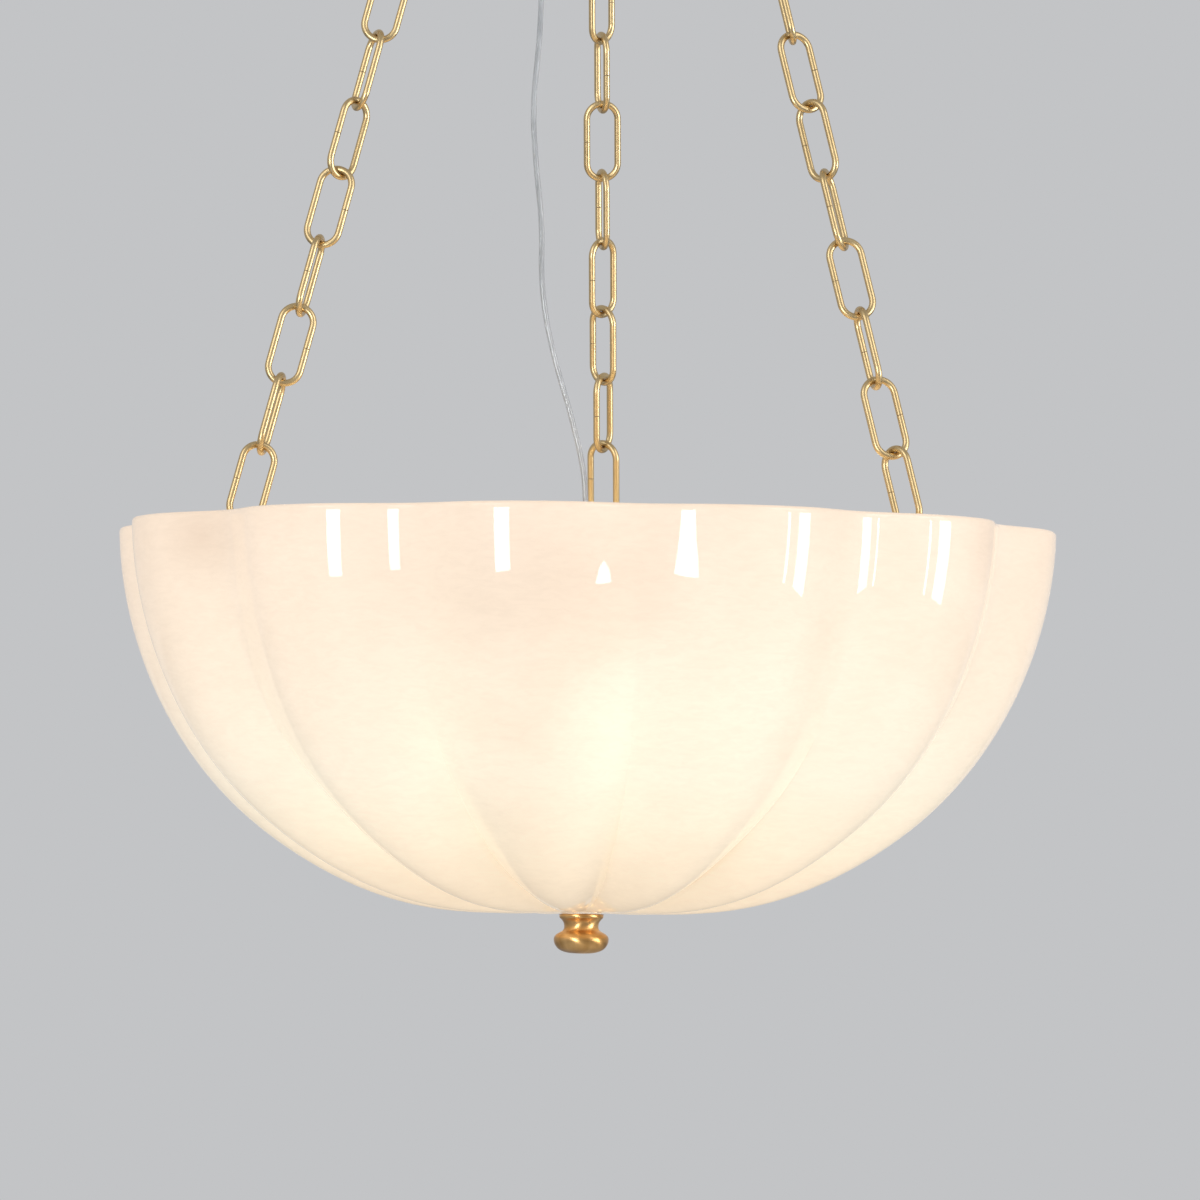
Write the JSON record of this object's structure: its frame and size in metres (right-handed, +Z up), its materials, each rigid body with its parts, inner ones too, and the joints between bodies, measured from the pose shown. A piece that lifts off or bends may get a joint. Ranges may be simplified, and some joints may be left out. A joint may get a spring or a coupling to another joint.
{
  "type": "bowl chandelier",
  "caption": "Ceiling bowl pendant: fluted round shade open at the top, hung on three link chains from a domed canopy, with a turned finial below and capsule lamps inside.",
  "frame": {"origin": "middle of the ceiling strap's top face, on the ceiling plane", "axes": "+Z up, out through the ceiling; +Y towards the chain at the back; +X to the right when that chain is behind"},
  "size_m": [0.499, 0.499, 0.9676],
  "materials": {
    "bowl": "cast marble-look resin, glossy, lit warm from inside",
    "chain_brass": "satin",
    "canopy_brass": "spun, satin",
    "finial_brass": "antique, brushed",
    "frame_brass": "satin, machined",
    "steel": "zinc plated",
    "buffer_rubber": "clear silicone, frosted",
    "gasket_rubber": "soft white",
    "ceramic": "glazed white ceramic",
    "terminal_plastic": "moulded",
    "bulb_glass": "frosted",
    "cable": "clear sheath over silvery conductors"
  },
  "bodies": {
    "ceiling": {"ceiling_bracket": "steel", "nipple": "frame_brass", "bracket_nut": "steel", "earth_screw": "steel", "terminal_block": "terminal_plastic", "cable_tail": "cable", "canopy_loop": "canopy_brass"},
    "canopy_body": {"canopy": "canopy_brass", "canopy_gland": "cable", "gland_nut": "terminal_plastic"},
    "collar": {"collar_ring": "canopy_brass"},
    "ring": {"hanging_ring": "chain_brass"},
    "frame": {"crown_loop": "canopy_brass", "crown_plate": "canopy_brass", "crown_nut": "canopy_brass", "crown_eyes": "chain_brass", "chain_connectors": "chain_brass", "chain_left": "chain_brass", "chain_right": "chain_brass", "chain_back": "chain_brass", "support_arm_left": "frame_brass", "support_arm_right": "frame_brass", "support_arm_back": "frame_brass", "arm_buffers": "buffer_rubber", "frame_hub": "frame_brass", "hub_cover": "frame_brass", "hub_screws": "steel", "hub_gland": "cable", "hub_connector": "terminal_plastic", "bowl_rod": "frame_brass", "rod_nut": "steel", "seat_nut": "steel", "seat_washer": "steel", "lamp_arms": "frame_brass", "lamp_holders": "ceramic", "lamp_cable": "cable"},
    "bowl_body": {"bowl": "bowl", "upper_gasket": "gasket_rubber", "lower_gasket": "gasket_rubber"},
    "finial_body": {"finial": "finial_brass"},
    "lamp_1": {"bulb_base_1": "ceramic", "bulb_1": "bulb_glass"},
    "lamp_2": {"bulb_base_2": "ceramic", "bulb_2": "bulb_glass"},
    "lamp_3": {"bulb_base_3": "ceramic", "bulb_3": "bulb_glass"},
    "lamp_4": {"bulb_base_4": "ceramic", "bulb_4": "bulb_glass"},
    "lamp_5": {"bulb_base_5": "ceramic", "bulb_5": "bulb_glass"},
    "lamp_6": {"bulb_base_6": "ceramic", "bulb_6": "bulb_glass"}
  },
  "joints": [
    {"name": "sway_front", "type": "hinge", "parent": "ceiling", "child": "ring", "pos_m": [0, 0, -0.072], "axis": [1, 0, 0], "range_deg": [-15, 15]},
    {"name": "sway_side", "type": "hinge", "parent": "ring", "child": "frame", "pos_m": [0, 0, -0.0952], "axis": [0, 1, 0], "range_deg": [-15, 15]},
    {"name": "canopy_drop", "type": "slide", "parent": "ceiling", "child": "canopy_body", "axis": [0, 0, -1], "range_m": [0, 0.0075], "deforming": ["lamp_cable"]},
    {"name": "collar_turn", "type": "hinge", "parent": "canopy_body", "child": "collar", "pos_m": [0, 0, -0.041], "axis": [0, 0, -1], "range_deg": [0, 2701]},
    {"name": "bowl_drop", "type": "slide", "parent": "frame", "child": "bowl_body", "axis": [0, 0, -1], "range_m": [0, 0.008]},
    {"name": "finial_turn", "type": "hinge", "parent": "bowl_body", "child": "finial_body", "pos_m": [0, 0, -0.95499], "axis": [0, 0, -1], "range_deg": [0, 2881]},
    {"name": "bulb_1_pull", "type": "slide", "parent": "frame", "child": "lamp_1", "axis": [0, 0, -1], "range_m": [0, 0.012]},
    {"name": "bulb_2_pull", "type": "slide", "parent": "frame", "child": "lamp_2", "axis": [0, 0, -1], "range_m": [0, 0.012]},
    {"name": "bulb_3_pull", "type": "slide", "parent": "frame", "child": "lamp_3", "axis": [0, 0, -1], "range_m": [0, 0.012]},
    {"name": "bulb_4_pull", "type": "slide", "parent": "frame", "child": "lamp_4", "axis": [0, 0, -1], "range_m": [0, 0.012]},
    {"name": "bulb_5_pull", "type": "slide", "parent": "frame", "child": "lamp_5", "axis": [0, 0, -1], "range_m": [0, 0.012]},
    {"name": "bulb_6_pull", "type": "slide", "parent": "frame", "child": "lamp_6", "axis": [0, 0, -1], "range_m": [0, 0.012]}
  ],
  "couplings": [
    {"joint": "collar_turn", "follows": "canopy_drop", "rad_per_m": 6283.2},
    {"joint": "finial_turn", "follows": "bowl_drop", "rad_per_m": 6283.2}
  ]
}
